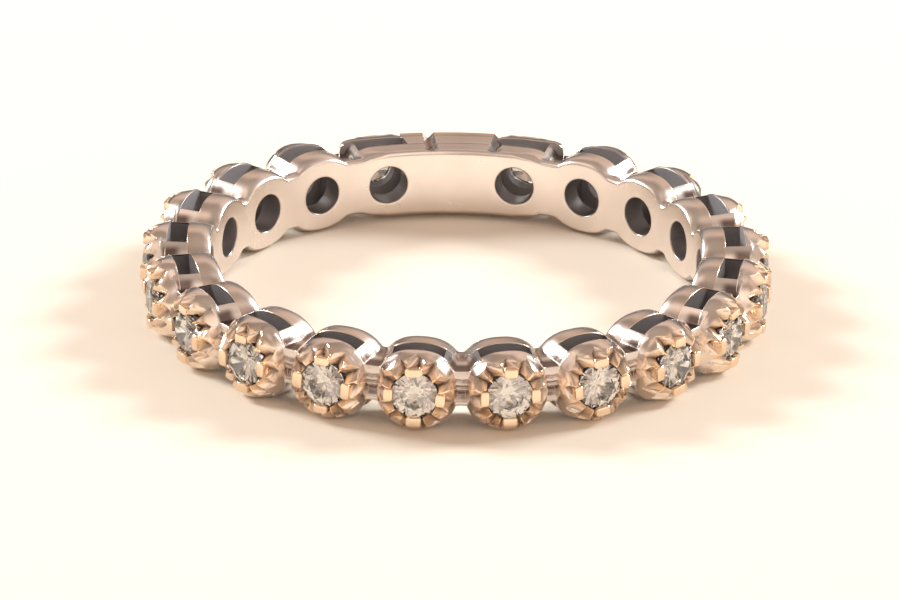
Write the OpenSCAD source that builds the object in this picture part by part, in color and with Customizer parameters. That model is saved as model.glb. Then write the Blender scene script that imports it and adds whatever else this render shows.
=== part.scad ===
// Eternity ring lying on its side: round heads with star-cut tops, each holding
// one small brilliant between four square prongs, on a pierced scalloped gallery.
// The finger hole runs along Z and the ring lies on the plane Z = 0.
// A plain, flat-sided sizing bar closes the circle at the back (+Y).
// Stones are numbered clockwise from the bar, as seen from above.

/* [Finger hole] */
// Radius of the finger hole
finger_r = 8.5; // [7.5:0.05:10]

/* [Heads] */
// Number of set stones
stone_count = 20; // [14:1:20]
// Width of a head across its rim, which is also the height of the ring
head_d = 2.8; // [2.6:0.05:3]
// Width of a lobe where it meets the finger hole
lobe_d = 2.54; // [2.3:0.02:2.56]
// From the finger hole to the rim of a head
rim_rise = 2.15; // [2.05:0.05:2.5]
// How far the top of a head rises inside its rim
dome_rise = 0.17; // [0.1:0.01:0.25]
// Bevel round the rim of a head
rim_bevel = 0.06; // [0.02:0.01:0.12]

/* [Star cut] */
// Rays cut into the top of a head
ray_count = 8; // [8:4:8]
// Depth of a ray beside the stone, below the rim
ray_depth = 0.1; // [0.05:0.01:0.2]
// Half width of a ray beside the stone
ray_half_w = 0.26; // [0.15:0.01:0.3]
// Metal left between the tip of a ray and the rim
ray_margin = 0.08; // [0.04:0.01:0.2]

/* [Prongs] */
// Prongs round each stone
prong_count = 4; // [4:4:8]
// Width of a prong along the edge of the stone
prong_w = 0.5; // [0.3:0.02:0.6]
// Length of a prong, from its lip to its back
prong_l = 0.34; // [0.28:0.01:0.42]
// How far the lip of a prong covers the stone
prong_lap = 0.08; // [0.04:0.01:0.12]
// How far a prong stands above the top of the head
prong_rise = 0.05; // [0.02:0.01:0.12]

/* [Stones] */
// Width of a stone across its girdle
stone_d = 1.6; // [1.4:0.02:1.7]
// Width of a stone's table
table_d = 0.92; // [0.8:0.02:1]
// Height of a stone's crown
crown_h = 0.18; // [0.14:0.01:0.24]
// Height of a stone's girdle
girdle_h = 0.04; // [0.02:0.01:0.06]
// Depth of a stone's pavilion
pavilion_h = 0.68; // [0.6:0.01:0.75]
// Gap between a stone and its seat
stone_gap = 0.02; // [0.01:0.005:0.04]
// Depth of the table below the tops of the prongs
table_sink = 0.0; // [0:0.01:0.05]

/* [Gallery] */
// Width of the hole through the wall behind each stone
back_hole_d = 1.54; // [1.2:0.02:1.6]
// Width of the hole under the seat of each stone
seat_hole_d = 1.24; // [1:0.02:1.3]
// Thickness of the wall round the finger, up to the side windows
wall_t = 0.82; // [0.6:0.02:0.95]
// Length of a side window, outwards
window_l = 0.74; // [0.5:0.02:0.85]
// Width of a side window, along the ring
window_w = 1.86; // [1.5:0.02:2]
// Height of the necks between the lobes
neck_h = 1.46; // [1.1:0.02:1.8]
// From the finger hole to the outer face of the necks
neck_rise = 1.8; // [1.65:0.05:2]

/* [Sizing bar] */
// Angle from the middle of the bar to the nearest stone on each side
bar_to_stone = 15.1; // [14.5:0.1:18]
// Angle from the middle of the bar to each of its ends
bar_half = 22; // [20:0.5:24]
// Height of the bar
bar_h = 2.4; // [2:0.05:2.5]
// From the finger hole to the outer face of the bar
bar_rise = 1.85; // [1.75:0.05:2]
// Width of the nicks filed across the outer edges of the bar
nick_w = 0.4; // [0.2:0.05:0.6]
// Length of the nicks, inwards and outwards from the bar's outer face
nick_l = 1.3; // [0.6:0.1:2]
// Angles of the two nicks, clockwise from the middle of the bar
nick_angles = [-4, 9]; // [-20:0.5:20]

/* [Hidden] */
$fn = 64;
function stone_name(k) = str("stone_", k < 10 ? "0" : "", k);
mid_z = head_d / 2;
rim_r = finger_r + rim_rise;
neck_r = finger_r + neck_rise;
bar_r = finger_r + bar_rise;
top_rise = rim_rise + dome_rise;
prong_top = top_rise + prong_rise;
table_at = prong_top - table_sink;
girdle_top = table_at - crown_h;
girdle_foot = girdle_top - girdle_h;
stone_r = stone_d / 2;
seat_r = stone_r + stone_gap;
seat_hole_r = seat_hole_d / 2;
window_at = wall_t + window_l / 2;
pitch = (360 - 2 * bar_to_stone) / (stone_count - 1);
// Overlap that makes a cut pass clear of a face
cut = 0.5;
// Radius at which the lobes and the bar start before the finger hole is cut
foot_r = finger_r - 0.13;
// Radius of the necks' inner faces, a hair behind the wall of the finger hole
neck_foot = finger_r + 0.02;
// How far the end of a neck lies inside the wall beside a window
neck_lap = 0.08;
// Metal between a window of the bar and the underside of the head over it
head_floor = 0.1;
// Ledge under a head of the bar, round its seat
head_seat = 0.15;
// How far a head of the bar stands in from the bar's flat sides
trim = 0.02;
// How far the middle of a nick's square cutter lies off the bar's flat side
nick_lift = 0.03;
// Sides of the circle of the finger hole
hole_sides = 180;
// Turn of a lobe's seam, clear of its windows and necks
seam_turn = 39;
// Angle from the middle of a stone to the root of the neck beside it, inside the lobe's wall
neck_root = asin((window_w / 2 + neck_lap) / (finger_r + wall_t));
// Width of the flat land round a seat
seat_land = 0.04;
// Depth of a prong's root below the girdle
prong_root = 0.2;
// How much steeper the underside of a prong's lip is than the crown under it
lip_slope = 1.35;
// Angle between two mains of a stone
facet_step = 360 / 8;

// Angle of a stone, clockwise from the middle of the bar
function stone_angle(k) = bar_to_stone + (k - 1) * pitch;

// Stands a child on the ring at an angle from the bar, its Z outwards, its Y upwards
module on_ring(angle) {
    rotate([0, 0, 90 - angle])
        translate([0, 0, mid_z])
            rotate([90, 0, 90])
                children();
}

// One lobe and the domed top of its head, outwards along Z
module head_body() {
    lobe_slope = (head_d - lobe_d) / 2 / rim_rise;
    rotate([0, 0, seam_turn])
        rotate_extrude()
            polygon([
                [0, foot_r],
                [lobe_d / 2 - (finger_r - foot_r) * lobe_slope, foot_r],
                [head_d / 2, rim_r - rim_bevel],
                [head_d / 2 - rim_bevel, rim_r],
                [seat_r + seat_land, finger_r + top_rise],
                [0, finger_r + top_rise]
            ]);
}

// One ray: a V groove that is wide beside the stone and runs out at the rim
module ray() {
    tip_x = head_d / 2 - rim_bevel - ray_margin;
    tip_z = rim_r + dome_rise * (ray_margin / (head_d / 2 - rim_bevel - seat_r));
    foot_z = rim_r - ray_depth;
    run = tip_x - seat_r;
    fall = tip_z - foot_z;
    slope = atan(fall / run);
    depth = finger_r + top_rise - foot_z;
    flare = ray_half_w / depth;
    reach = depth + cut;
    translate([tip_x, 0, tip_z])
        rotate([0, -90 - slope, 0])
            translate([0, 0, -cut / 4])
                linear_extrude(run + cut)
                    polygon([[0, 0], [reach, -reach * flare], [reach, reach * flare]]);
}

// The square prongs, which the seat later hollows under their lips
module prongs() {
    lip_x = stone_r - prong_lap;
    root = girdle_foot - prong_root;
    for (i = [0:prong_count - 1])
        rotate([0, 0, i * 360 / prong_count])
            translate([lip_x, -prong_w / 2, finger_r + root])
                cube([prong_l, prong_w, prong_top - root]);
}

// A whole head before it is drilled
module head() {
    difference() {
        head_body();
        for (i = [0:ray_count - 1])
            rotate([0, 0, i * 360 / ray_count])
                ray();
    }
    prongs();
}

// What is cut away behind and round a stone: back hole, side windows and seat
module hollow() {
    seat_fall = (seat_r - seat_hole_r) * pavilion_h / stone_r;
    crown_slope = crown_h / (stone_r - table_d / 2);
    lip_r = stone_r - prong_lap;
    lip_z = girdle_top + stone_gap + (seat_r - lip_r) * crown_slope * lip_slope;
    translate([0, 0, finger_r - cut])
        cylinder(h = cut + wall_t + window_l / 2, d = back_hole_d);
    translate([0, 0, finger_r + window_at])
        cube([window_w, head_d + 2 * cut, window_l], center = true);
    translate([0, 0, finger_r])
        rotate_extrude()
            polygon([
                [0, window_at],
                [seat_hole_r, window_at],
                [seat_hole_r, girdle_foot - seat_fall],
                [seat_r, girdle_foot],
                [seat_r, girdle_top + stone_gap],
                [lip_r, lip_z],
                [lip_r, prong_top + cut],
                [0, prong_top + cut]
            ]);
}

// The space that the finger takes
module finger_hole() {
    translate([0, 0, -cut])
        cylinder(h = head_d + 2 * cut, r = finger_r, $fn = hole_sides);
}

// A slice of ring round the finger, between two angles from the bar
module sector(from, to, inner_r, outer_r, height) {
    rotate([0, 0, 90 - to])
        rotate_extrude(angle = to - from)
            translate([inner_r, mid_z - height / 2])
                square([outer_r - inner_r, height]);
}

// Lobe k with its head, drilled for its stone
module pierced_lobe(k) {
    difference() {
        on_ring(stone_angle(k))
            difference() {
                head();
                hollow();
            }
        finger_hole();
    }
}

// The neck that joins lobe k to the next one, its ends inside their walls
module neck(k) {
    sector(stone_angle(k) + neck_root, stone_angle(k + 1) - neck_root, neck_foot, neck_r, neck_h);
}

// The V nicks across the outer edges of the sizing bar
module nicks() {
    for (angle = nick_angles)
        for (side = [-1, 1])
            on_ring(angle)
                translate([0, side * (bar_h / 2 + nick_lift), bar_r])
                    rotate([0, 0, 45])
                        cube([nick_w, nick_w, nick_l], center = true);
}

// Head k within the sizing bar: its top only, trimmed to the bar's height and drilled
module bar_head(k) {
    top_h = top_rise + prong_rise + cut;
    on_ring(stone_angle(k))
        difference() {
            intersection() {
                head();
                translate([-head_d, trim - bar_h / 2, finger_r + window_at + window_l / 2 + head_floor])
                    cube([2 * head_d, bar_h - 2 * trim, top_h]);
            }
            hollow();
        }
}

// Room in the bar for one head: back hole, side windows and a hole under the head
module bar_hollow() {
    translate([0, 0, finger_r - cut])
        cylinder(h = cut + wall_t + window_l / 2, d = back_hole_d);
    translate([0, 0, finger_r + window_at])
        cube([window_w, head_d + 2 * cut, window_l], center = true);
    translate([0, 0, finger_r + window_at])
        cylinder(h = head_d, r = seat_r + head_seat);
}

// The strip of the sizing bar, drilled under its two heads
module bar_strip() {
    difference() {
        sector(-bar_half, bar_half, foot_r, bar_r, bar_h);
        for (k = [1, stone_count])
            on_ring(stone_angle(k))
                bar_hollow();
    }
}

// The sizing bar with the first and last heads in it
module sizing_bar() {
    difference() {
        union() {
            bar_strip();
            bar_head(1);
            bar_head(stone_count);
        }
        nicks();
        finger_hole();
    }
}

// All the metal, soldered in one
module ring_mount() {
    color([0.87, 0.79, 0.72]) {
        sizing_bar();
        for (k = [2:stone_count - 1])
            pierced_lobe(k);
        for (k = [1:stone_count - 1])
            neck(k);
    }
}

// One ring of points round a stone
function points_round(count, r, z, turn) = [
    for (i = [0:count - 1]) [r * cos(i * 360 / count + turn), r * sin(i * 360 / count + turn), z]
];

// One brilliant: table, 8 stars, 8 kites, 16 upper halves, girdle, 16 lower halves and 8 mains
module brilliant() {
    half = facet_step / 2;
    table_r = table_d / 2;
    star_r = (table_r * cos(half) + stone_r) / 2;
    star_z = crown_h - (star_r * cos(half) - table_r) * crown_h / (stone_r - table_r);
    main_r = stone_r / 4;
    main_z = -girdle_h - pavilion_h * (1 - main_r * cos(half) / stone_r);
    points = concat(
        points_round(8, table_r, crown_h, 0),
        points_round(8, star_r, star_z, half),
        points_round(16, stone_r, 0, 0),
        points_round(16, stone_r, -girdle_h, 0),
        points_round(8, main_r, main_z, half),
        [[0, 0, -girdle_h - pavilion_h]]
    );
    star = 8;
    upper = 16;
    lower = 32;
    main = 48;
    culet = 56;
    faces = concat(
        [[7, 6, 5, 4, 3, 2, 1, 0]],
        [for (i = [0:7]) [i, (i + 1) % 8, star + i]],
        [for (i = [0:7]) [i, star + i, upper + 2 * i, star + (i + 7) % 8]],
        [for (i = [0:7]) [star + i, upper + 2 * i + 1, upper + 2 * i]],
        [for (i = [0:7]) [star + i, upper + (2 * i + 2) % 16, upper + 2 * i + 1]],
        [for (i = [0:15]) [upper + i, upper + (i + 1) % 16, lower + (i + 1) % 16, lower + i]],
        [for (i = [0:7]) [main + i, lower + 2 * i, lower + 2 * i + 1]],
        [for (i = [0:7]) [main + i, lower + 2 * i + 1, lower + (2 * i + 2) % 16]],
        [for (i = [0:7]) [culet, main + (i + 7) % 8, lower + 2 * i, main + i]]
    );
    polyhedron(points, faces);
}

// Stone k in its seat
module stone(k) {
    color([0.80, 0.79, 0.76])
        on_ring(stone_angle(k))
            translate([0, 0, finger_r + girdle_top])
                brilliant();
}

ring_mount();
for (k = [1:stone_count]) stone(k);
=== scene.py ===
"""Dresses an eternity ring: pierced gallery, necks, star-cut heads with prongs, and brilliants.

All shapes are worked out in millimetres in ring coordinates (angle clockwise from the sizing bar,
distance from the middle of the finger hole, height above the ring's middle plane) and placed in metres.
"""

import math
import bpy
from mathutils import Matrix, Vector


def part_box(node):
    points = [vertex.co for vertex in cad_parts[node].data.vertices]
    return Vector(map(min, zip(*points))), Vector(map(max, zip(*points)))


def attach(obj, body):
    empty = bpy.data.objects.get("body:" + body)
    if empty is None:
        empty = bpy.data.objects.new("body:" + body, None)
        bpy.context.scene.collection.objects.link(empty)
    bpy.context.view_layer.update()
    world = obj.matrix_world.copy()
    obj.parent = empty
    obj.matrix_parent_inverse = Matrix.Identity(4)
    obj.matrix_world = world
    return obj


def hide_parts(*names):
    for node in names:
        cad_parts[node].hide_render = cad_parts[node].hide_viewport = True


bl_info = {
    "name": "Eternity ring",
    "version": (1, 0, 0),
    "blender": (4, 5, 0),
    "location": "View3D > Sidebar > Ring",
    "description": "Builds an eternity ring of round stone heads on a pierced gallery",
    "category": "Object",
}

import bmesh
import bpy
import numpy as np
from bpy.props import FloatProperty, FloatVectorProperty, IntProperty, PointerProperty
from mathutils import Euler, Vector

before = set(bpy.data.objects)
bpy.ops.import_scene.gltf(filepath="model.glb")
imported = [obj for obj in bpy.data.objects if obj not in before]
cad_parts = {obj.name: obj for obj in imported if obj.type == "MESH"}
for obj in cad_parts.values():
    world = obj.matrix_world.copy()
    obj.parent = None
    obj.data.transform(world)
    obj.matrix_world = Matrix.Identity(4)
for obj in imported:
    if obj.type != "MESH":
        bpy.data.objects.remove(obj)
CAD_LOW, CAD_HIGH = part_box("ring_mount")
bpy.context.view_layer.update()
MM = 0.001
# Values of the attribute that paints shade into the metal: 0 is clean metal, 1 is all the colour of painted
# shade and tarnish, and 2 is all the painted shade of the hollows
CLEAN, DEEP_SHADE = 0.0, 2.0
# How much painted shade darkens the faces inside the holes, the windows and the posts
HOLE_DEPTH, WINDOW_DEPTH, POST_DEPTH = 1.5, 1.6, 1.65


# Sizes and colours


class RingSizes(bpy.types.PropertyGroup):
    """The sizes that give the ring its shape"""

    finger_r: FloatProperty(
        name="Finger hole radius", description="Radius of the finger hole",
        default=0.0085, unit="LENGTH")
    middle: FloatProperty(
        name="Middle height", description="Height of the ring's middle plane over the surface it lies on",
        default=(CAD_LOW.z + CAD_HIGH.z) / 2, unit="LENGTH")
    stones: IntProperty(name="Stones", description="Number of set stones", default=20, min=3)
    bar_to_stone: FloatProperty(
        name="Bar to stone", description="Angle from the middle of the sizing bar to the first stone",
        default=math.radians(15.1), subtype="ANGLE")
    lobe_half: FloatProperty(
        name="Lobe half height", description="Half height of a lobe at the finger hole",
        default=0.0014, unit="LENGTH")
    head_r: FloatProperty(
        name="Head radius", description="Radius of a head at its rim",
        default=0.0014, unit="LENGTH")
    rim_rise: FloatProperty(
        name="Rim rise", description="From the finger hole to the rim of a head",
        default=0.00215, unit="LENGTH")
    wall: FloatProperty(
        name="Wall", description="Thickness of the wall round the finger",
        default=0.00082, unit="LENGTH")
    window_l: FloatProperty(
        name="Window length", description="Length of a side window, outwards",
        default=0.00068, unit="LENGTH")
    window_half: FloatProperty(
        name="Window half width", description="Half width of a side window",
        default=0.00089, unit="LENGTH")
    back_hole_r: FloatProperty(
        name="Back hole radius", description="Radius of the hole behind each stone",
        default=0.00068, unit="LENGTH")
    neck_wall_half: FloatProperty(
        name="Notch height", description="Half height of the wall between two lobes",
        default=0.00086, unit="LENGTH")
    neck_back: FloatProperty(
        name="Notch rise", description="How much shallower the notches are beside the sizing bar",
        default=0.00025, unit="LENGTH")
    neck_half: FloatProperty(
        name="Neck half height", description="Half height of a neck at its outer face",
        default=0.00073, unit="LENGTH")
    neck_rise: FloatProperty(
        name="Neck rise", description="From the finger hole to the outer face of a neck",
        default=0.00176, unit="LENGTH")
    bar_half: FloatProperty(
        name="Bar half height", description="Half height of the sizing bar",
        default=0.0012, unit="LENGTH")
    bar_rise: FloatProperty(
        name="Bar rise", description="From the finger hole to the outer face of the bar",
        default=0.00185, unit="LENGTH")
    nick_depth: FloatProperty(
        name="Nick depth", description="Depth of the nicks across the bar",
        default=0.00022, unit="LENGTH")
    dome_rise: FloatProperty(
        name="Dome rise", description="How far a head's top rises inside its rim",
        default=0.00018, unit="LENGTH")
    ray_depth: FloatProperty(
        name="Ray depth", description="Depth of a ray beside the stone",
        default=0.00034, unit="LENGTH")
    seat_r: FloatProperty(
        name="Seat radius", description="Radius of the seat round a stone",
        default=0.00082, unit="LENGTH")
    prong_w: FloatProperty(
        name="Prong width", description="Width of a prong along the stone",
        default=0.00056, unit="LENGTH")
    prong_l: FloatProperty(
        name="Prong length", description="Length of a prong from its lip to its back",
        default=0.00034, unit="LENGTH")


class RingColours(bpy.types.PropertyGroup):
    """The colours of the metals, the painted shade, the stones and the ground"""

    silver: FloatVectorProperty(
        name="Gallery", description="Colour of the pale metal of the gallery",
        subtype="COLOR", size=4, min=0, max=1, default=(0.96, 0.88, 0.82, 1))
    gold: FloatVectorProperty(
        name="Heads", description="Colour of the warm metal of the heads",
        subtype="COLOR", size=4, min=0, max=1, default=(0.99, 0.77, 0.56, 1))
    # Painted shade, with some tarnish: the dark colour laid into the cuts, the notches, the nicks and the
    # necks and over the wall tops
    tarnish: FloatVectorProperty(
        name="Tarnish", description="Colour of the metal deep in the cuts",
        subtype="COLOR", size=4, min=0, max=1, default=(0.22, 0.165, 0.145, 1))
    # Painted shade, with some grime, inside the hollow heads, their windows and the holes behind the stones
    soot: FloatVectorProperty(
        name="Soot", description="Colour of the metal inside the hollow heads",
        subtype="COLOR", size=4, min=0, max=1, default=(0.56, 0.56, 0.58, 1))
    stone: FloatVectorProperty(
        name="Stones", description="Body colour of the stones",
        subtype="COLOR", size=4, min=0, max=1, default=(0.86, 0.83, 0.77, 1))
    ground: FloatVectorProperty(
        name="Ground", description="Colour of the surface that the ring lies on",
        subtype="COLOR", size=4, min=0, max=1, default=(0.94, 0.875, 0.765, 1))


# Shape of the ring


def smooth(t):
    """Cubic step: 0 below 0, 1 above 1, three t squared less two t cubed between."""
    t = np.clip(t, 0, 1)
    return t * t * (3 - 2 * t)


def fade(value, start, length):
    """0 up to start, a cubic step over length, and 1 beyond."""
    return smooth((value - start) / length)


def soft_max(a, b, k):
    """The larger of a and b, with a hyperbola of width k where they meet."""
    return 0.5 * (a + b + np.sqrt((a - b) ** 2 + k * k))


def from_bar(angle):
    """An angle as the signed turn from the middle of the bar, at most half a turn either way."""
    return np.mod(angle + math.pi, 2 * math.pi) - math.pi


class Form:
    """The sizes in millimetres, and the height of the gallery at any place round the ring."""

    # Power of the superellipse of a lobe at the finger, where 2 would be round
    square_power = 2.35
    # How far the bar runs on past its two stones, and how much further per millimetre outwards
    bar_end, bar_flare = 1.17, 0.04
    # Below the middle plane: the notches' height and their rise, as parts of those above it
    under_notch, under_rise = 1.16, 0.3
    # Cosine of the turn from the bar where that rise sets in, and how much more it takes to be full
    rise_start, rise_length = 0.35, 0.55
    # Distance from the finger where the wall's notch starts to turn to the neck, and over which it does
    neck_start, neck_length = 0.1, 0.7
    # Width of the soft corner where a lobe meets a neck
    corner = 0.05
    # The nicks: their turns from the middle of the bar, half their width, and where and how they fade in
    nick_turns = (math.radians(-4.6), math.radians(9.8))
    nick_half, nick_start, nick_length = 0.21, 0.03, 0.3

    def __init__(self, sizes):
        for name in sizes.__annotations__:
            value = getattr(sizes, name)
            setattr(self, name, value if name in ("stones", "bar_to_stone") else value / MM)
        self.pitch = (2 * math.pi - 2 * self.bar_to_stone) / (self.stones - 1)
        self.at = self.bar_to_stone + np.arange(self.stones) * self.pitch
        self.window_in = self.finger_r + self.wall
        self.window_out = self.window_in + self.window_l
        self.top = self.rim_rise + self.dome_rise

    def in_bar(self, k):
        """Whether head k is one of the two that are built into the sizing bar."""
        return k in (0, self.stones - 1)

    def half_height(self, angle, rho, side=1):
        """Half height of the gallery: a superellipse over each lobe that turns from nearly square at the
        finger to round at the head, joined by the lower necks with a soft maximum, the flat bar with rounded
        ends over them at the back, less the V of each nick. The notches between the lobes are shallower
        below the middle plane (side under 0) and beside the bar."""
        angle = np.mod(angle, 2 * math.pi)
        near = np.clip(np.round((angle - self.at[0]) / self.pitch), 0, self.stones - 1)
        across = rho * np.sin(angle - self.at[0] - near * self.pitch)
        out = rho - self.finger_r
        lobe = self.lobe_half + (self.head_r - self.lobe_half) * out / self.rim_rise
        reach = np.clip(np.abs(across) / lobe, 0, 1)
        height = lobe * (1 - reach**self.square_power) ** (1 / self.square_power)
        turn = from_bar(angle)
        past = (np.abs(turn) - self.bar_to_stone) * rho / (self.bar_end + self.bar_flare * out)
        bar = self.bar_half * (1 - np.clip(past, 0, 1) ** 4) ** 0.25
        over_bar = np.abs(turn) < self.bar_to_stone + self.pitch / 2
        rise = fade(np.cos(turn), self.rise_start, self.rise_length)
        neck = self.neck_wall_half * np.where(side < 0, self.under_notch, 1.0)
        neck = neck + self.neck_back * rise * np.where(side < 0, self.under_rise, 1.0)
        neck = neck + (self.neck_half - neck) * fade(out, self.neck_start, self.neck_length)
        height = soft_max(np.where(over_bar, bar, height), neck, self.corner)
        return height - self.nick_depth * self.nicks(turn, rho)

    def nicks(self, turn, rho):
        """From 0 beside the two nicks of the bar to 1 in their bottoms: a V across, fading in from the
        finger."""
        off = np.minimum(*(np.abs(turn - at) for at in self.nick_turns)) * rho
        near = np.clip(1 - off / self.nick_half, 0, 1)
        return near * fade(rho - self.finger_r, self.nick_start, self.nick_length)

    def place(self, angle, rho, z):
        """Ring coordinates to metres: clockwise angle from +Y, distance from the axis and height over the
        middle plane."""
        angle, rho, z = np.broadcast_arrays(angle, rho, z)
        return np.stack([rho * np.sin(angle), rho * np.cos(angle), self.middle + z], -1) * MM

    def place_head(self, k, x, y, out):
        """Head coordinates to metres: x along the ring, y up, out from the middle of the finger hole."""
        sin, cos = math.sin(self.at[k]), math.cos(self.at[k])
        x, y, out = np.broadcast_arrays(x, y, out)
        return np.stack([out * sin - x * cos, out * cos + x * sin, self.middle + y], -1) * MM


class Skin:
    """Gathers grids of points into one mesh, with a value per point that says how much painted shade, with
    some tarnish, darkens it.
    """

    def __init__(self):
        self.points, self.faces, self.depths, self.count = [], [], [], 0

    def grid(self, points, depth=CLEAN, wrap=False, flip=False):
        """Adds a grid of rows and columns of points as quads. wrap joins the last column to the first."""
        rows, cols = points.shape[:2]
        index = np.arange(rows * cols).reshape(rows, cols) + self.count
        if wrap:
            index = np.concatenate([index, index[:, :1]], 1)
        corners = [index[:-1, :-1], index[:-1, 1:], index[1:, 1:], index[1:, :-1]]
        quads = np.stack(corners, -1).reshape(-1, 4)
        self.faces.append(quads[:, ::-1] if flip else quads)
        self.points.append(points.reshape(-1, 3))
        self.depths.append(np.broadcast_to(depth, (rows, cols)).ravel())
        self.count += rows * cols

    def build(self, name, material, sharp=math.radians(35), bevel=0.0):
        """Makes the object, merges doubled points, turns the faces outwards and marks sharp edges by angle.
        bevel is the width of its bevels in millimetres."""
        mesh = bpy.data.meshes.new(name)
        mesh.from_pydata(np.concatenate(self.points).tolist(), [], np.concatenate(self.faces).tolist())
        cut = mesh.attributes.new("cut_depth", "FLOAT", "POINT")
        cut.data.foreach_set("value", np.concatenate(self.depths).astype(np.float32))
        work = bmesh.new()
        work.from_mesh(mesh)
        bmesh.ops.remove_doubles(work, verts=work.verts, dist=2e-8)
        bmesh.ops.dissolve_degenerate(work, edges=work.edges, dist=1e-9)
        bmesh.ops.recalc_face_normals(work, faces=work.faces)
        work.to_mesh(mesh)
        work.free()
        mesh.polygons.foreach_set("use_smooth", [True] * len(mesh.polygons))
        mesh.set_sharp_from_angle(angle=sharp)
        mesh.materials.append(material)
        mesh.update()
        piece = bpy.data.objects.new(name, mesh)
        bpy.context.scene.collection.objects.link(piece)
        if bevel:
            edges = piece.modifiers.new("Edges", "BEVEL")
            edges.width, edges.segments = bevel * MM, 2
            edges.limit_method, edges.angle_limit = "ANGLE", math.radians(50)
            edges.use_clamp_overlap = True
        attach(piece, "root")
        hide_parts("ring_mount")


# Materials


def socket(group, name, way, kind, default=None):
    """Adds a named input or output to a node group."""
    made = group.interface.new_socket(name=name, in_out=way, socket_type=kind)
    if default is not None:
        made.default_value = default


def link(tree, source, target):
    """Joins an output to an input."""
    tree.links.new(source, target)


def map_range(tree, source, start, end, low=0.0, high=1.0):
    """Turns the values of an output from start to end into low to high."""
    node = tree.nodes.new("ShaderNodeMapRange")
    for name, value in (("From Min", start), ("From Max", end), ("To Min", low), ("To Max", high)):
        node.inputs[name].default_value = value
    link(tree, source, node.inputs["Value"])
    return node.outputs["Result"]


def noise(tree, source, scale, detail=2):
    """The factor of a noise texture at the place that an output gives."""
    node = tree.nodes.new("ShaderNodeTexNoise")
    node.inputs["Scale"].default_value, node.inputs["Detail"].default_value = scale, detail
    link(tree, source, node.inputs["Vector"])
    return node.outputs["Fac"]


def mixed(tree, factor, colour, towards):
    """A colour turned towards another by a factor. Either may be an output or a colour."""
    node = tree.nodes.new("ShaderNodeMix")
    node.data_type = "RGBA"
    link(tree, factor, node.inputs["Factor"])
    for place, given in ((6, colour), (7, towards)):
        if isinstance(given, bpy.types.NodeSocket):
            link(tree, given, node.inputs[place])
        else:
            node.inputs[place].default_value = given
    return node.outputs[2]


def worn_polish_group():
    """Worn polish: a haze that varies the roughness, fine rubbing marks and small pits as a bump."""
    group = bpy.data.node_groups.new("Worn polish", "ShaderNodeTree")
    for name, value in (("Polish", 0.15), ("Haze", 0.1), ("Marks", 0.2)):
        socket(group, name, "INPUT", "NodeSocketFloat", value)
    socket(group, "Roughness", "OUTPUT", "NodeSocketFloat")
    socket(group, "Shade", "OUTPUT", "NodeSocketFloat")
    socket(group, "Normal", "OUTPUT", "NodeSocketVector")
    nodes = group.nodes
    given, out = nodes.new("NodeGroupInput"), nodes.new("NodeGroupOutput")
    where = nodes.new("ShaderNodeTexCoord")
    haze = noise(group, where.outputs["Object"], 700, 4)
    rough = nodes.new("ShaderNodeMath")
    rough.operation = "MULTIPLY_ADD"
    link(group, haze, rough.inputs[0])
    link(group, given.outputs["Haze"], rough.inputs[1])
    link(group, given.outputs["Polish"], rough.inputs[2])
    link(group, rough.outputs[0], out.inputs["Roughness"])
    link(group, map_range(group, haze, 0.3, 0.75, 0.86, 1.0), out.inputs["Shade"])
    stretch = nodes.new("ShaderNodeMapping")
    stretch.inputs["Scale"].default_value = (1500, 1500, 9000)
    link(group, where.outputs["Object"], stretch.inputs["Vector"])
    rubs = noise(group, stretch.outputs["Vector"], 1, 3)
    pits = nodes.new("ShaderNodeTexVoronoi")
    pits.inputs["Scale"].default_value = 1300
    link(group, where.outputs["Object"], pits.inputs["Vector"])
    hollow = map_range(group, pits.outputs["Distance"], 0.02, 0.12, -2.0, 0.0)
    both = nodes.new("ShaderNodeMath")
    both.operation = "ADD"
    link(group, rubs, both.inputs[0])
    link(group, hollow, both.inputs[1])
    bump = nodes.new("ShaderNodeBump")
    bump.inputs["Distance"].default_value = 0.000004
    link(group, given.outputs["Marks"], bump.inputs["Strength"])
    link(group, both.outputs[0], bump.inputs["Height"])
    link(group, bump.outputs["Normal"], out.inputs["Normal"])
    return group


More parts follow.
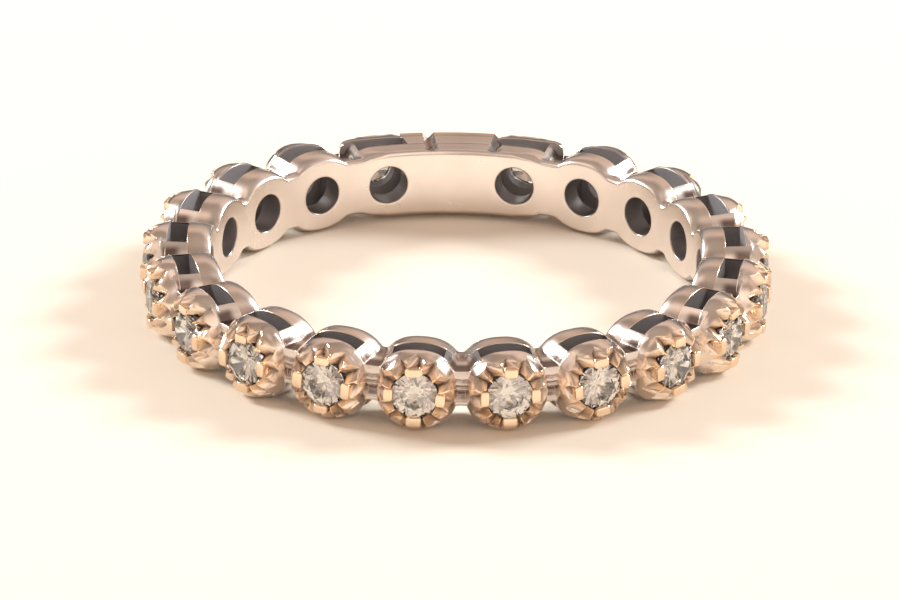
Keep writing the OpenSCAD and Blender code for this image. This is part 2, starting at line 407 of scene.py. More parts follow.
def two_tone_group():
    """Two tone: pale metal near the finger turns to warm metal further out. An attribute paints shade into
    it:
     from 0 to 1 towards the colour of painted shade and tarnish, from 1 to 2 towards the painted shade of
     the hollows, which is also matt."""
    group = bpy.data.node_groups.new("Two tone metal", "ShaderNodeTree")
    for name in ("Pale", "Warm", "Tarnish", "Soot"):
        socket(group, name, "INPUT", "NodeSocketColor")
    for name, value in (("Start", 0.0096), ("End", 0.0101), ("Dirt", 0.7), ("Shade", 1.0)):
        socket(group, name, "INPUT", "NodeSocketFloat", value)
    socket(group, "Color", "OUTPUT", "NodeSocketColor")
    socket(group, "Matt", "OUTPUT", "NodeSocketFloat")
    nodes = group.nodes
    given, out = nodes.new("NodeGroupInput"), nodes.new("NodeGroupOutput")
    where = nodes.new("ShaderNodeTexCoord")
    flat = nodes.new("ShaderNodeVectorMath")
    flat.operation = "MULTIPLY"
    flat.inputs[1].default_value = (1, 1, 0)
    link(group, where.outputs["Object"], flat.inputs[0])
    far = nodes.new("ShaderNodeVectorMath")
    far.operation = "LENGTH"
    link(group, flat.outputs["Vector"], far.inputs[0])
    turn = nodes.new("ShaderNodeMapRange")
    turn.interpolation_type = "SMOOTHSTEP"
    link(group, far.outputs["Value"], turn.inputs["Value"])
    link(group, given.outputs["Start"], turn.inputs["From Min"])
    link(group, given.outputs["End"], turn.inputs["From Max"])
    cut = nodes.new("ShaderNodeAttribute")
    cut.attribute_name = "cut_depth"
    shade_share = nodes.new("ShaderNodeMath")
    shade_share.operation, shade_share.use_clamp = "MULTIPLY", True
    link(group, cut.outputs["Fac"], shade_share.inputs[0])
    link(group, given.outputs["Dirt"], shade_share.inputs[1])
    hollow_share = nodes.new("ShaderNodeMath")
    hollow_share.operation, hollow_share.use_clamp = "SUBTRACT", True
    link(group, cut.outputs["Fac"], hollow_share.inputs[0])
    hollow_share.inputs[1].default_value = 1.0
    link(group, hollow_share.outputs[0], out.inputs["Matt"])
    colour = given.outputs["Pale"]
    for factor, towards in (
            (turn.outputs["Result"], "Warm"), (shade_share.outputs[0], "Tarnish"), (hollow_share.outputs[0], "Soot")):
        colour = mixed(group, factor, colour, given.outputs[towards])
    shaded = nodes.new("ShaderNodeVectorMath")
    shaded.operation = "SCALE"
    link(group, colour, shaded.inputs[0])
    link(group, given.outputs["Shade"], shaded.inputs["Scale"])
    link(group, shaded.outputs["Vector"], out.inputs["Color"])
    return group


def metal(name, colours, polish, haze, marks, start, end, dirt=0.7):
    """A polished metal with the two-tone colour and the worn polish. It turns from pale to warm between the
    distances start and end from the ring's axis, in metres."""
    hollow_roughness = 0.45
    made = bpy.data.materials.new(name)
    made.use_nodes = True
    tree = made.node_tree
    shader = tree.nodes["Principled BSDF"]
    shader.inputs["Metallic"].default_value = 1.0
    tone = tree.nodes.new("ShaderNodeGroup")
    tone.node_tree = bpy.data.node_groups.get("Two tone metal") or two_tone_group()
    for key, value in (
            ("Pale", colours.silver), ("Warm", colours.gold), ("Tarnish", colours.tarnish),
            ("Soot", colours.soot), ("Start", start), ("End", end), ("Dirt", dirt)):
        tone.inputs[key].default_value = value
    wear = tree.nodes.new("ShaderNodeGroup")
    wear.node_tree = bpy.data.node_groups.get("Worn polish") or worn_polish_group()
    for key, value in (("Polish", polish), ("Haze", haze), ("Marks", marks)):
        wear.inputs[key].default_value = value
    link(tree, wear.outputs["Shade"], tone.inputs["Shade"])
    link(tree, tone.outputs["Color"], shader.inputs["Base Color"])
    rough = tree.nodes.new("ShaderNodeMath")
    rough.operation = "MULTIPLY_ADD"
    link(tree, tone.outputs["Matt"], rough.inputs[0])
    rough.inputs[1].default_value = hollow_roughness
    link(tree, wear.outputs["Roughness"], rough.inputs[2])
    link(tree, rough.outputs[0], shader.inputs["Roughness"])
    link(tree, wear.outputs["Normal"], shader.inputs["Normal"])
    return made


def brilliant_material(colour):
    """Clear faceted stone with faint clouds in its body colour."""
    cloud_shade, cloud_scale = 0.8, 1600
    made = bpy.data.materials.new("brilliant")
    made.use_nodes = True
    tree = made.node_tree
    shader = tree.nodes["Principled BSDF"]
    shader.inputs["Transmission Weight"].default_value = 1.0
    shader.inputs["Roughness"].default_value = 0.03
    shader.inputs["IOR"].default_value = 2.2
    where = tree.nodes.new("ShaderNodeTexCoord")
    cloud = noise(tree, where.outputs["Object"], cloud_scale)
    shaded = tuple(cloud_shade * part for part in colour[:3]) + (1,)
    link(tree, mixed(tree, cloud, shaded, tuple(colour)), shader.inputs["Base Color"])
    return made


# The gallery


def wall_faces(skin, form, k, along, edge_up, edge_out):
    """The inner and outer faces of one stretch of wall and the hole through it. The rows of points start at
    the scalloped edge of the outer face, go in to the hole, through it, with a small quarter round at the
    finger, and out over the inner face to its scalloped edge. On a face they are spread evenly between the
    circle of the hole and the edge, each point at the angle of its place on the inner edge."""
    edge_hole, hole_r = 0.05, form.back_hole_r
    # Rows of the outer face as parts of the way to its edge, and the counts of the other rows
    outer_rows, through_rows, round_rows, inner_rows, end_rows = (1, 0.95, 0.6, 0.3, 0), 4, 5, 9, 13
    up = np.linspace(-1, 1, end_rows)

    def outline(rho, edge):
        top, foot = (form.half_height(along, rho, side) - edge for side in (1, -1))
        low, high = (np.full(end_rows - 1, end) for end in (along[0], along[-1]))
        angle = np.concatenate([high, along[:0:-1], low, along[:-1]])
        rise, fall = (np.where(up > 0, top[i], foot[i]) * up for i in (-1, 0))
        z = np.concatenate([rise[:-1], top[:0:-1], fall[:0:-1], -foot[:-1]])
        return rho * np.sin(angle - form.at[k]), z

    in_x, in_z = outline(form.finger_r, edge_up)
    out_x, out_z = outline(form.window_in, edge_out)
    turn = np.arctan2(in_z, in_x)
    hole_x, hole_z = np.cos(turn), np.sin(turn)

    def spread(part, r, edge_x, edge_z):
        return hole_x * r * (1 - part) + edge_x * part, hole_z * r * (1 - part) + edge_z * part

    rows = []
    # The outer face inside the window and the hole through the wall get painted shade, which fades out over
    # the small round at the finger
    for part in outer_rows:
        rows.append((*spread(part, hole_r, out_x, out_z), form.window_in, WINDOW_DEPTH * (part < 1)))
    for rho in np.linspace(form.window_in, form.finger_r + edge_hole, through_rows)[1:-1]:
        rows.append((hole_x * hole_r, hole_z * hole_r, rho, HOLE_DEPTH))
    for t in np.linspace(0, math.pi / 2, round_rows):
        r = hole_r + edge_hole * (1 - math.cos(t))
        rho = form.finger_r + edge_hole * (1 - math.sin(t))
        rows.append((hole_x * r, hole_z * r, rho, HOLE_DEPTH * (1 - 2 * t / math.pi)))
    for part in np.linspace(0, 1, inner_rows)[1:]:
        rows.append((*spread(part, hole_r + edge_hole, in_x, in_z), form.finger_r, CLEAN))
    x, z = (np.stack([row[i] for row in rows]) for i in (0, 1))
    rho, depth = (np.array([row[i] for row in rows])[:, None] for i in (2, 3))
    skin.grid(form.place(form.at[k] + np.arcsin(x / rho), rho, z), depth, wrap=True)


def wall_edges(skin, form, k, along, at_bar, edge_in, edge_up, edge_out):
    """The strips along the upper and lower edge of one stretch of wall: a quarter ellipse up from the inner
     face, the flat top and a small quarter round. Painted shade darkens them: a little over the tops as a
     darker reflection, more in the notches and the nicks and less beside the bar. The underside is darker
     still."""
    # Painted shade: the haze is a darker reflection painted over the tops, and more shade is painted in the
    # notches; the underside is made darker
    haze, notch_shade, underside_darkening = 0.15, 0.75, 0.6
    # Where each sets in and over what length: notches as parts of the way to the next stretch, the others
    # in millimetres from the finger
    notch_start, notch_length = 0.72, 0.2
    shade_start, shade_length, underside_length = 0.1, 0.2, 0.02
    quarter_rows, flat_rows = 13, 7
    quarter = np.linspace(0, math.pi / 2, quarter_rows)[:, None]
    small_quarter = quarter[::3]
    flat = np.linspace(0, 1, flat_rows)[1:-1, None]
    start = form.finger_r + edge_in
    end = np.full_like(along, form.window_in - edge_out)
    rho = np.concatenate([
        form.finger_r + edge_in * (1 - np.cos(quarter)), start + (end - start) * flat,
        end + edge_out * np.sin(small_quarter)])
    drop = np.concatenate([
        edge_up * (1 - np.sin(quarter)), np.zeros_like(flat), edge_out * (1 - np.cos(small_quarter))])
    notch = np.abs(rho * np.sin(along - form.at[k])) / (rho * math.sin(form.pitch / 2))
    out = rho - form.finger_r
    dirt = haze + notch_shade * fade(notch, notch_start, notch_length)
    dirt = dirt * fade(out, shade_start, shade_length) * (1 - at_bar)
    dirt = np.maximum(dirt, form.nicks(from_bar(along), rho))
    under_darkening = np.maximum(dirt, underside_darkening * fade(out, 0, underside_length))
    for side, depth in ((1, dirt), (-1, under_darkening)):
        depth[-1] = CLEAN
        z = form.half_height(along, rho, side) - drop
        skin.grid(form.place(along, rho, side * z), depth, flip=side < 0)


def wall_unit(skin, form, k):
    """One stretch of the wall round the finger, from half way to the stone before to half way to the next,
    or to the middle of the bar. The rounding of its inner edge narrows towards the bar by a cubic step."""
    columns, bar_columns = 45, 61
    bar_lap, bar_fade = 0.09, 0.1
    edge_width, bar_less, edge_up, edge_out = 0.5, 0.38, 0.2, 0.03
    low = 0.0 if k == 0 else form.at[k] - form.pitch / 2
    high = 2 * math.pi if k == form.stones - 1 else form.at[k] + form.pitch / 2
    along = np.linspace(low, high, bar_columns if form.in_bar(k) else columns)
    at_bar = smooth((form.bar_to_stone + bar_lap - np.abs(from_bar(along))) / bar_fade)
    wall_faces(skin, form, k, along, edge_up, edge_out)
    wall_edges(skin, form, k, along, at_bar, edge_width - bar_less * at_bar, edge_up, edge_out)


def build_wall(form, material):
    """The wall round the finger: one stretch for each stone."""
    skin = Skin()
    for k in range(form.stones):
        wall_unit(skin, form, k)
    skin.build("finger_wall", material)


def post_points(form, k, a, b, c, outer, arch=0.0):
    """A block bent round the ring between the windows of stone k and the next. a runs along it, b from
    inside the wall out to its outer face, c from its bottom to its top, which follows the gallery's height,
    a hair lower inside the wall and beside the heads. Its bottom is arched up in the middle by a parabola of
    the relative height arch."""
    wall_lap, in_wall, wall_length = 0.08, 0.012, 0.06
    beside_head, head_start, head_length = 0.006, -0.02, 0.03
    start = form.window_in - wall_lap
    rho = start + b * (outer(a, c) - start)
    lean = np.arcsin(form.window_half / rho)
    step = form.pitch if k < form.stones - 1 else 2 * form.bar_to_stone
    angle = form.at[k] + lean + a * (step - 2 * lean)
    sunk = in_wall * (1 - fade(rho, start, wall_length))
    sunk = sunk + beside_head * fade(rho - form.window_out, head_start, head_length)
    side = np.where(c < 0.5, -1, 1)
    arched = np.where(c < 0.5, 1 - 4 * arch * a * (1 - a), 1)
    height = (form.half_height(angle, rho, side) - sunk) * arched
    return form.place(angle, rho, (2 * c - 1) * height)


def block(skin, shape, a, b, c, front_shading, top_shading):
    """Adds the six faces of a block whose points are shape(a, b, c). The ends and the inner face lie in the
     hollow of a head and get its painted shade, the outer face gets the painted shade that the function for
     the front gives at (a, c), and the top and the bottom that which the function for the top gives at (a,
     b). Where two faces meet, both are clean."""
    one, none = np.array([[1.0]]), np.array([[0.0]])
    a_row, b_row, b_column, c_column = a[None, :], b[None, :], b[:, None], c[:, None]
    for points, depth, flip in (
            (shape(a_row, b_column, one), top_shading(a_row, b_column), True),
            (shape(a_row, b_column, none), top_shading(a_row, b_column), False),
            (shape(none, b_row, c_column), POST_DEPTH, False),
            (shape(one, b_row, c_column), POST_DEPTH, True),
            (shape(a_row, none, c_column), POST_DEPTH, True),
            (shape(a_row, one, c_column), front_shading(a_row, c_column), False)):
        depths = np.array(np.broadcast_to(depth, points.shape[:2]), float)
        depths[[0, -1]] = depths[:, [0, -1]] = CLEAN
        skin.grid(points, depths, flip=flip)


def rows_outwards(count):
    """The rows of a block from its inner to its outer face: close together inside the wall, then even."""
    return np.concatenate([[0, 0.04], np.linspace(0.08, 1, count)])


def build_necks(form, material):
    """The necks between the heads. The outer face of each bellies as the square of the height and flares out
    towards the heads as the square of the distance from its middle. It is hollowed below its middle and
    carries two engraved lines above it, all with the profile of a bell curve."""
    columns, rows, layers = 33, 11, 37
    line_heights, line_bend, line_half, line_depth = (0.22, 0.52), 0.12, 0.07, 0.06
    hollow_height, hollow_half, hollow_depth, end_less = -0.28, 0.34, 0.2, 0.4
    flare, belly, arch = 0.06, 0.07, 0.28
    # Painted shade: a little over the whole outer face, more in the engraved lines and the hollow
    front_shade, cut_shade, line_share = 0.3, 0.6, 0.6
    # Tops: where the painted dark reflection sets in and over what length, outwards and from the ends
    out_start, out_length, end_start, end_length = 0.25, 0.3, 0.3, 0.4
    skin = Skin()

    def spans(a, c):
        return np.abs(a - 0.5) * 2, 2 * c - 1

    def lines(a, c):
        off, z = spans(a, c)
        return sum(np.exp(-(((z - at - line_bend * off) / line_half) ** 2)) for at in line_heights)

    def hollow(a, c):
        off, z = spans(a, c)
        return np.exp(-(((z - hollow_height) / hollow_half) ** 2)) * (1 - end_less * off)

    def outer(a, c):
        off, z = spans(a, c)
        body = form.finger_r + form.neck_rise + flare * off**2 - belly * z**2
        return body - line_depth * lines(a, c) - hollow_depth * hollow(a, c)

    def front_shading(a, c):
        return front_shade + cut_shade * np.clip(line_share * lines(a, c) + hollow(a, c), 0, 1)

    def top_shading(a, b):
        return fade(b, out_start, out_length) * fade(4 * a * (1 - a), end_start, end_length)

    for k in range(form.stones - 1):
        block(skin, lambda a, b, c: post_points(form, k, a, b, c, outer, arch), np.linspace(0, 1, columns),
              rows_outwards(rows), np.linspace(0, 1, layers), front_shading, top_shading)
    skin.build("necks", material, bevel=0.02)


def build_bar(form, material):
    """The sizing bar between the windows of the last and the first stone, with the nicks in its flat sides.
    Its outer face falls towards both sides as the sixth power of the height."""
    columns, rows, layers, side_fall = 121, 16, 37, 0.05
    skin = Skin()

    def outer(a, c):
        return form.finger_r + form.bar_rise - side_fall * np.abs(2 * c - 1) ** 6

    # Painted shade in the nicks of the top and the bottom
    def top_shading(a, b):
        rho = form.window_in + b * (form.finger_r + form.bar_rise - form.window_in)
        return form.nicks((2 * a - 1) * (form.bar_to_stone - np.arcsin(form.window_half / rho)), rho)

    block(skin, lambda a, b, c: post_points(form, form.stones - 1, a, b, c, outer),
          np.linspace(0, 1, columns), rows_outwards(rows), np.linspace(0, 1, layers),
          lambda a, c: CLEAN, top_shading)
    skin.build("sizing_bar", material, bevel=0.04)


# The heads


def head_profile(form):
    """The profile of a head: radius, height over the finger hole, whether rays cut into it, and painted
    shade, of
     each row. It runs from the underside up the hole and the seat, over the dome, down the side and back
     under it. The dome's height falls as a superellipse of the radius, and its rows close up towards the
     rim."""
    seat, low, top = form.seat_r, form.window_out - form.finger_r, form.top
    under_r, step_r, hole_r, brim_r, inner = form.head_r - 0.03, 1.0, seat - 0.20, seat + 0.012, seat + 0.03
    shoulder, edge, foot_gap = 1.5, 0.03, 0.008
    # Heights of the seat: its foot, its floor, where its deep and its lighter painted shade end, and its
    # rounded brim
    seat_foot, floor, deep_shade_to, shade_to, brim = (top - drop for drop in (0.47, 0.40, 0.37, 0.05, 0.015))
    seat_deep_shade, seat_shade = 1.6, 0.8
    # The dome: its rows, how they close up, the power of its superellipse, and how far out rays cut in
    dome_rows, closing, dome_power, rays_to = 31, 1.6, 2.3, 0.985
    rows = [
        (under_r, low, 0, DEEP_SHADE), (step_r, low, 0, DEEP_SHADE), (seat - 0.18, low, 0, DEEP_SHADE),
        (hole_r, low + edge, 0, DEEP_SHADE), (hole_r, seat_foot, 0, DEEP_SHADE), (seat, floor, 0, DEEP_SHADE),
        (seat, deep_shade_to, 0, seat_deep_shade), (seat, shade_to, 1, seat_shade), (brim_r, brim, 1, CLEAN)]
    for part in 1 - (1 - np.linspace(0, 1, dome_rows)) ** closing:
        fall = (1 - part**dome_power) ** 0.5
        r = inner + (form.head_r - inner) * part
        rows.append((r, shoulder + (top - shoulder) * fall, part < rays_to, CLEAN))
    foot = form.lobe_half + (form.head_r - form.lobe_half) * low / form.rim_rise + foot_gap
    for part in (0.3, 0.65, 1.0):
        r = form.head_r + (foot - form.head_r) * part
        rows.append((r, shoulder + (low + edge - shoulder) * part, 0, CLEAN))
    rows.append((under_r, low, 0, DEEP_SHADE))
    return (np.array(column, float)[:, None, None] for column in zip(*rows))


def head_surface(skin, form, k, rng):
    """The turned body of a head: its profile carried round its axis. V-shaped rays are sunk into the dome,
    deepest at the stone: seven broad ones from side to side over the top and six narrow ones below. The
    columns of the grid close up towards the edges of each ray and its bottom, so that its creases are crisp.
    Below the dome the circle turns to the superellipse of the lobe. Returns the angle that it leans by."""
    columns = 16
    # Of each kind of ray: width in degrees, slope of the bottom, breadth for its depth, and painted shade
    broad, narrow = (30, 0.27, 1.15, 1.1), (25, 0.34, 0.85, 0.7)
    width, slope, breadth, ray_shade = np.array([broad] * 7 + [narrow] * 6).T
    width, sectors = np.radians(width), len(width)
    # Least and most half width of a ray as parts of a quarter of its sector
    least, most = 0.12, 1.85
    lean = rng.normal(0, math.radians(2.0))
    centre = np.cumsum(width) - width / 2 - width[0] / 2 + lean
    start = form.top - form.ray_depth * rng.uniform(0.85, 1.1, sectors)
    slope = slope + rng.normal(0, 0.04, sectors)
    breadth = breadth * rng.uniform(0.85, 1.15, sectors)
    skew, twist = rng.uniform(-0.5, 0.5, sectors), rng.normal(0, 0.12, sectors)
    per_ray = (width / 4, centre, start, slope, breadth, skew, twist, ray_shade)
    even, centre, start, slope, breadth, skew, twist, ray_shade = (one[None, :, None] for one in per_ray)
    r, h, cutting, depth = head_profile(form)
    bottom = start - slope * (r - form.seat_r)
    sink = np.clip(h - bottom, 0, 1) * cutting
    alpha = np.where(cutting > 0, np.clip(breadth * sink / r, least * even, most * even), even)
    # w runs from -1 to 1 across a sector, and the ray lies within edge of its middle
    w, edge = np.linspace(-1, 1, columns, endpoint=False)[None, None, :], 0.5
    vee = np.clip(1 - np.abs(w) / edge, 0, 1)
    inside = alpha * (w / edge + skew * vee * (cutting > 0))
    beside = np.sign(w) * (alpha + (2 * even - alpha) * (np.abs(w) - edge) / (1 - edge))
    theta = np.where(np.abs(w) <= edge, inside, beside) + centre
    theta = theta + twist * (r - form.seat_r) * (1 - np.abs(w)) * cutting
    h = h - sink * vee
    # Painted shade, strongest deep in the middle of each ray
    depth = depth + ray_shade * np.clip(sink / form.ray_depth, 0, 1) ** 0.5 * vee**2.5
    # The outside is out of round, by parts of its radius in two and in five waves
    two, five, wave_start, wave_length = 0.008, 0.005, 1.0, 0.3
    wave = 1 + two * np.sin(2 * theta + rng.uniform(0, 6)) + five * np.sin(5 * theta + rng.uniform(0, 6))
    r = r * (1 + (wave - 1) * np.clip((r - wave_start) / wave_length, 0, 1))
    rows = r.shape[0]
    r, h, theta, depth = (np.broadcast_to(m, theta.shape).reshape(rows, -1) for m in (r, h, theta, depth))
    x, y = r * np.cos(theta), r * np.sin(theta)
    # Below the height reach the outside is squared, in the bar to just inside the bar's flat sides, and
    # beyond the bar's outer face these sides draw in
    outside_r, squaring, half, power, reach = 1.2, 0.35, form.head_r, form.square_power, 1.85
    side_gap, draw_in, draw_lap = 0.015, 0.43, 0.05
    if form.in_bar(k):
        half, power, reach = form.bar_half - side_gap, np.where((x > 0) == (k > 0), 8.0, 4.0), 2.1
    across, over = np.abs(np.cos(theta)) / form.head_r, np.abs(np.sin(theta)) / half
    square = (across**power + over**power) ** (-1 / power)
    stretch = 1 + (square / form.head_r - 1) * smooth((reach - h) / squaring) * (r > outside_r)
    x, y = x * stretch, y * stretch
    if half < form.head_r:
        limit = half - draw_in * np.clip(h - form.bar_rise + draw_lap, 0, 1)
        y = np.clip(y, -limit, limit)
    skin.grid(form.place_head(k, x, y, form.finger_r + h), depth, wrap=True, flip=True)
    return lean


def prong(skin, form, k, turn, rng):
    """One prong: a rounded rectangle, drawn as a superellipse, carried up from its root to a nearly flat
    top, its lip hollowed over the stone's crown, closed by a point at each end. In the bar it ends short of
    the bar's flat sides."""
    sides, corner, lip_lap, bar_margin = 28, 0.45, 0.1, 0.25
    crown_slope, least_lip, top_rise, point_rise = 0.55, 0.03, 0.065, 0.005
    across = form.prong_w / 2 * rng.uniform(0.85, 1.1)
    length = form.prong_l * rng.uniform(0.9, 1.1)
    t = np.linspace(0, 2 * math.pi, sides, endpoint=False)
    round_x = np.sign(np.cos(t)) * np.abs(np.cos(t)) ** corner
    round_y = np.sign(np.sin(t)) * np.abs(np.sin(t)) ** corner
    top = form.top + top_rise * rng.uniform(0.7, 1.1)
    lip, root, crown = form.seat_r - lip_lap, form.rim_rise - 0.22, form.rim_rise + 0.06
    # Part of its full width and length, and height
    rings = (
        (0.9, root), (0.98, root + 0.08), (1.0, top - 0.08), (0.97, top - 0.035), (0.88, top - 0.01),
        (0.7, top), (0.35, top + 0.004))
    middle = lip + length / 2
    rows = [np.full((sides, 3), (middle, 0.0, root))]
    for part, height in rings:
        out = lip + length / 2 * (1 + part * round_x)
        lowest = np.minimum(crown + np.clip(form.seat_r - out, 0, 1) * crown_slope, top - least_lip)
        high = np.where(out < form.seat_r, np.maximum(height, lowest), height)
        rows.append(np.stack([out, across * part * round_y, high], -1))
    rows.append(np.full((sides, 3), (middle, 0.0, top + point_rise)))
    points = np.stack(rows)
    cos, sin = math.cos(turn), math.sin(turn)
    x = points[..., 0] * cos - points[..., 1] * sin
    y = points[..., 0] * sin + points[..., 1] * cos
    if form.in_bar(k):
        y = np.clip(y, bar_margin - form.bar_half, form.bar_half - bar_margin)
    skin.grid(form.place_head(k, x, y, form.finger_r + points[..., 2]), wrap=True)


def build_heads(form, material):
    """The heads, each with four prongs a quarter turn apart. One series of random numbers varies them."""
    rng = np.random.default_rng(7)
    for k in range(form.stones):
        skin = Skin()
        lean = head_surface(skin, form, k, rng)
        for i in range(4):
            prong(skin, form, k, lean + i * math.pi / 2 + rng.normal(0, 0.03), rng)
        skin.build("head_%02d" % (k + 1), material, sharp=math.radians(24))


# Operators


class RING_OT_gallery(bpy.types.Operator):
    """Build the pierced wall round the finger"""

    bl_idname = "ring.gallery"
    bl_label = "Build the finger wall"

    def execute(self, context):
        # The warm tone that sets in towards the windows also paints a warm reflection on the wall tops
        pale = metal(
            "pale_metal", context.scene.ring_colours, polish=0.2, haze=0.12, marks=0.25,
            start=0.0087, end=0.0100)
        build_wall(Form(context.scene.ring_sizes), pale)
        return {"FINISHED"}


class RING_OT_necks(bpy.types.Operator):
    """Build the necks between the heads"""

    bl_idname = "ring.necks"
    bl_label = "Build the necks"

    def execute(self, context):
        # The necks take their painted shade and painted dark reflection at full strength
        dark = metal(
            "neck_metal", context.scene.ring_colours, polish=0.16, haze=0.14, marks=0.5,
            start=0.0100, end=0.0115, dirt=1.0)
        build_necks(Form(context.scene.ring_sizes), dark)
        return {"FINISHED"}


class RING_OT_bar(bpy.types.Operator):
    """Build the sizing bar"""

    bl_idname = "ring.bar"
    bl_label = "Build the sizing bar"

    def execute(self, context):
        plain = metal(
            "bar_metal", context.scene.ring_colours, polish=0.17, haze=0.1, marks=0.3,
            start=0.0092, end=0.0109)
        build_bar(Form(context.scene.ring_sizes), plain)
        return {"FINISHED"}


class RING_OT_heads(bpy.types.Operator):
    """Build the star-cut heads with their prongs"""

    bl_idname = "ring.heads"
    bl_label = "Build the heads"

    def execute(self, context):
        warm = metal(
            "warm_metal", context.scene.ring_colours, polish=0.13, haze=0.12, marks=0.4,
            start=0.0101, end=0.0110)
        build_heads(Form(context.scene.ring_sizes), warm)
        return {"FINISHED"}


class RING_OT_stones(bpy.types.Operator):
    """Give the stones their material"""

    bl_idname = "ring.stones"
    bl_label = "Finish the stones"

    def execute(self, context):
        clear = brilliant_material(context.scene.ring_colours.stone)
        for name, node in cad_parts.items():
            if name.startswith("stone_"):
                node.data.materials.clear()
                node.data.materials.append(clear)
        return {"FINISHED"}


def panel_light(name, at, size, power):
    """A square white area light at a place, turned towards the ring."""
    data = bpy.data.lights.new(name, "AREA")
    data.shape, data.size, data.size_y, data.energy = "RECTANGLE", size, size, power
    lamp = bpy.data.objects.new(name, data)
    bpy.context.scene.collection.objects.link(lamp)
    lamp.location = at
    lamp.rotation_mode = "QUATERNION"
    lamp.rotation_quaternion = (Vector((0, 0, 0)) - Vector(at)).to_track_quat("-Z", "Y")


def soft_room():
    """A room in warm greys with soft darker and lighter patches that the polished metal mirrors: light
    overhead and in front, dark low at the back."""
    heights = (
        (0.0, (0.70, 0.54, 0.45, 1)), (0.15, (0.48, 0.36, 0.30, 1)), (0.35, (0.52, 0.38, 0.30, 1)),
        (0.55, (0.56, 0.42, 0.35, 1)), (0.85, (0.74, 0.57, 0.47, 1)), (0.97, (0.95, 0.75, 0.62, 1)))
    # Colour of each patch, and the directions along Y and Z between which it fades in
    patches = (
        ((0.12, 0.13, 0.14, 1), (0.0, 0.45), (0.45, 0.24)),
        ((0.95, 0.77, 0.66, 1), (-0.05, -0.4), (0.95, 0.5)))
    world = bpy.data.worlds.new("soft_room")
    world.use_nodes = True
    tree = world.node_tree
    where = tree.nodes.new("ShaderNodeTexCoord")
    split = tree.nodes.new("ShaderNodeSeparateXYZ")
    link(tree, where.outputs["Generated"], split.inputs[0])
    ramp = tree.nodes.new("ShaderNodeValToRGB")
    link(tree, split.outputs["Z"], ramp.inputs["Fac"])
    stops = ramp.color_ramp.elements
    stops[0].color = heights[0][1]
    stops[1].position, stops[1].color = heights[-1]
    for at, colour in heights[1:-1]:
        stops.new(at).color = colour
    light = map_range(tree, noise(tree, where.outputs["Generated"], 1.6, 0), 0.38, 0.62, 0.5, 1.4)
    colour = ramp.outputs["Color"]
    for towards, y_range, z_range in patches:
        both = tree.nodes.new("ShaderNodeMath")
        both.operation = "MULTIPLY"
        for i, axis, (start, end) in ((0, "Y", y_range), (1, "Z", z_range)):
            link(tree, map_range(tree, split.outputs[axis], start, end), both.inputs[i])
        colour = mixed(tree, both.outputs[0], colour, towards)
    link(tree, colour, tree.nodes["Background"].inputs["Color"])
    link(tree, light, tree.nodes["Background"].inputs["Strength"])
    return world


def set_ground(scene):
    """A flat sheet of paper a hair under the ring, 3 m wide."""
    far, under = 1.5, 0.00001
    mesh = bpy.data.meshes.new("ground")
    mesh.from_pydata([(-far, -far, 0), (far, -far, 0), (far, far, 0), (-far, far, 0)], [], [(0, 1, 2, 3)])
    ground = bpy.data.objects.new("ground", mesh)
    scene.collection.objects.link(ground)
    ground.location.z = -under
    paper = bpy.data.materials.new("ground_paper")
    paper.use_nodes = True
    shader = paper.node_tree.nodes["Principled BSDF"]
    shader.inputs["Base Color"].default_value = scene.ring_colours.ground
    shader.inputs["Roughness"].default_value = 0.8
    shader.inputs["Specular IOR Level"].default_value = 0.2
    mesh.materials.append(paper)


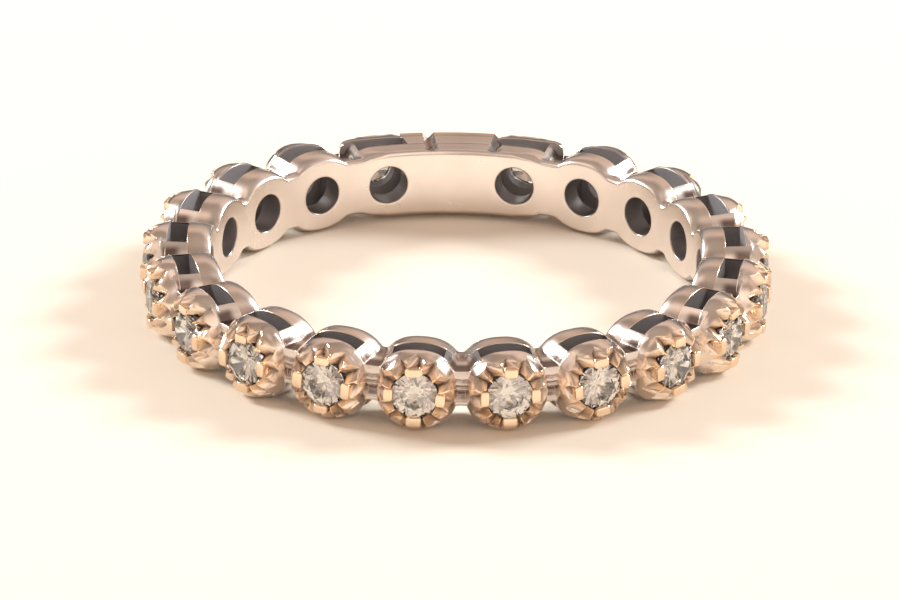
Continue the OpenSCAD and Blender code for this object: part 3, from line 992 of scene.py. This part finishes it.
def set_camera(scene):
    """The camera of the photo: a long lens, at a low angle and a little to the left."""
    lift, swing, roll, away = math.radians(22.84), math.radians(1.53), math.radians(1.06), 0.4
    # How far the view is shifted, in pixels of the picture
    picture_width, right, up = 900, -5.3, 12.7
    data = bpy.data.cameras.new("camera")
    camera = bpy.data.objects.new("camera", data)
    scene.collection.objects.link(camera)
    flat = away * math.cos(lift)
    camera.location = (-flat * math.sin(swing), -flat * math.cos(swing), away * math.sin(lift))
    look = (-camera.location).to_track_quat("-Z", "Y")
    camera.rotation_mode = "QUATERNION"
    camera.rotation_quaternion = look @ Euler((0, 0, roll)).to_quaternion()
    data.sensor_width, data.lens = 36, 461.6
    data.shift_x, data.shift_y = right / picture_width, up / picture_width
    data.clip_start, data.clip_end = 0.01, 10
    scene.camera = camera


class RING_OT_stage(bpy.types.Operator):
    """Make the ground, the light and the camera"""

    bl_idname = "ring.stage"
    bl_label = "Set the stage"

    def execute(self, context):
        scene = context.scene
        set_ground(scene)
        scene.world = soft_room()
        panel_light("left_panel", (-0.45, 0.21, 0.30), 0.17, 2.8)
        panel_light("right_panel", (0.45, 0.21, 0.30), 0.17, 2.8)
        scene.view_settings.view_transform = "Standard"
        set_camera(scene)
        return {"FINISHED"}


class RING_PT_panel(bpy.types.Panel):
    """Lists the steps that build the ring"""

    bl_idname = "RING_PT_panel"
    bl_label = "Eternity ring"
    bl_space_type = "VIEW_3D"
    bl_region_type = "UI"
    bl_category = "Ring"

    def draw(self, context):
        for step in STEPS:
            self.layout.operator(step.bl_idname)
        for group in (context.scene.ring_sizes, context.scene.ring_colours):
            box = self.layout.box()
            for name in group.__annotations__:
                box.prop(group, name)


STEPS = (RING_OT_gallery, RING_OT_necks, RING_OT_bar, RING_OT_heads, RING_OT_stones, RING_OT_stage)
CLASSES = (RingSizes, RingColours) + STEPS + (RING_PT_panel,)


def register():
    """Registers the classes and gives every scene the sizes and colours."""
    for made in CLASSES:
        bpy.utils.register_class(made)
    bpy.types.Scene.ring_sizes = PointerProperty(type=RingSizes)
    bpy.types.Scene.ring_colours = PointerProperty(type=RingColours)


def unregister():
    """Takes away what register added."""
    del bpy.types.Scene.ring_colours
    del bpy.types.Scene.ring_sizes
    for made in reversed(CLASSES):
        bpy.utils.unregister_class(made)


def main():
    """Builds the ring and its stage."""
    register()
    bpy.ops.ring.stage()
    bpy.ops.ring.gallery()
    bpy.ops.ring.necks()
    bpy.ops.ring.bar()
    bpy.ops.ring.heads()
    bpy.ops.ring.stones()


if __name__ == "__main__":
    main()
